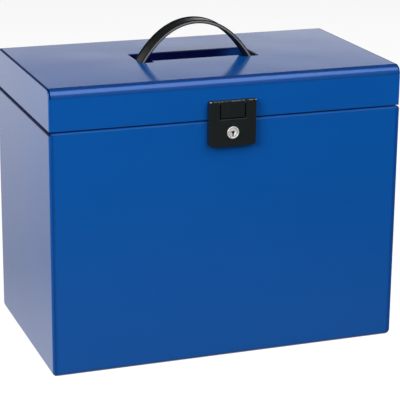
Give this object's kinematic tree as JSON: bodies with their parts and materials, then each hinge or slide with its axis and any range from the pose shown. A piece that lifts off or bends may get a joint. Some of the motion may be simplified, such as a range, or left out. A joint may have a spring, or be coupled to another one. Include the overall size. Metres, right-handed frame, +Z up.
{
  "type": "portable file box",
  "caption": "Portable sheet-metal file box with a full-depth hinged lid, a springy strap handle over a finger recess, and a key-locked hasp on the front",
  "frame": {"origin": "centre of the flat underside of the case, on the table", "axes": "+Z up, front with the hasp towards -Y, +X to the right of someone facing the front"},
  "size_m": [0.366, 0.2231, 0.3309],
  "materials": {
    "blue_paint": "smooth gloss enamel baked on steel sheet",
    "hasp_black": "semi-gloss black enamel on a die-cast hasp",
    "strap_black": "smooth black flexible vinyl with a dull sheen",
    "zinc": "bright zinc-plated steel",
    "lock_chrome": "polished chrome plate"
  },
  "bodies": {
    "case": {"body_wrap": "blue_paint", "side_panel_left": "blue_paint", "side_panel_right": "blue_paint", "file_rail_left": "blue_paint", "file_rail_right": "blue_paint", "hinge_leaf_body": "blue_paint", "hinge_pin": "zinc", "hinge_rivets_body": "zinc", "keeper": "zinc", "keeper_rivets": "zinc"},
    "lid": {"lid_wrap": "blue_paint", "lid_end_left": "blue_paint", "lid_end_right": "blue_paint", "handle_tray": "blue_paint", "hinge_leaf_lid": "blue_paint", "hinge_rivets_lid": "zinc", "hasp_tab": "hasp_black", "hasp_tab_screws": "zinc", "hasp_pin": "zinc"},
    "strap": {"handle_strap": "strap_black", "handle_core": "zinc"},
    "strap_left": {"strap_end_left": "strap_black"},
    "strap_right": {"strap_end_right": "strap_black"},
    "flap": {"hasp_flap": "hasp_black", "lock_barrel": "lock_chrome", "lock_clip": "zinc"},
    "lock_core": {"lock_plug": "lock_chrome", "lock_cam": "zinc", "cam_screw": "zinc"}
  },
  "joints": [
    {"name": "lid_hinge", "type": "hinge", "parent": "case", "child": "lid", "pos_m": [0, 0.1077, 0.2486], "axis": [-1, 0, 0], "range_deg": [0, 180]},
    {"name": "flap_hinge", "type": "hinge", "parent": "lid", "child": "flap", "pos_m": [0, -0.109, 0.2661], "axis": [-1, 0, 0], "range_deg": [0, 165]},
    {"name": "key_turn", "type": "hinge", "parent": "flap", "child": "lock_core", "pos_m": [0, -0.1086, 0.2369], "axis": [0, 1, 0], "range_deg": [0, 90]},
    {"name": "handle_press", "type": "slide", "parent": "lid", "child": "strap", "axis": [0, 0, -1], "range_m": [0, 0.036], "stiffness_N_per_m": 400, "springref_m": -0.002, "deforming": ["handle_strap", "handle_core"]},
    {"name": "left_end_slide", "type": "slide", "parent": "lid", "child": "strap_left", "axis": [-1, 0, 0], "range_m": [0, 0.0162]},
    {"name": "right_end_slide", "type": "slide", "parent": "lid", "child": "strap_right", "axis": [1, 0, 0], "range_m": [0, 0.0162]}
  ],
  "couplings": [
    {"joint": "left_end_slide", "follows": "handle_press", "ratio": 0.45},
    {"joint": "right_end_slide", "follows": "handle_press", "ratio": 0.45}
  ]
}
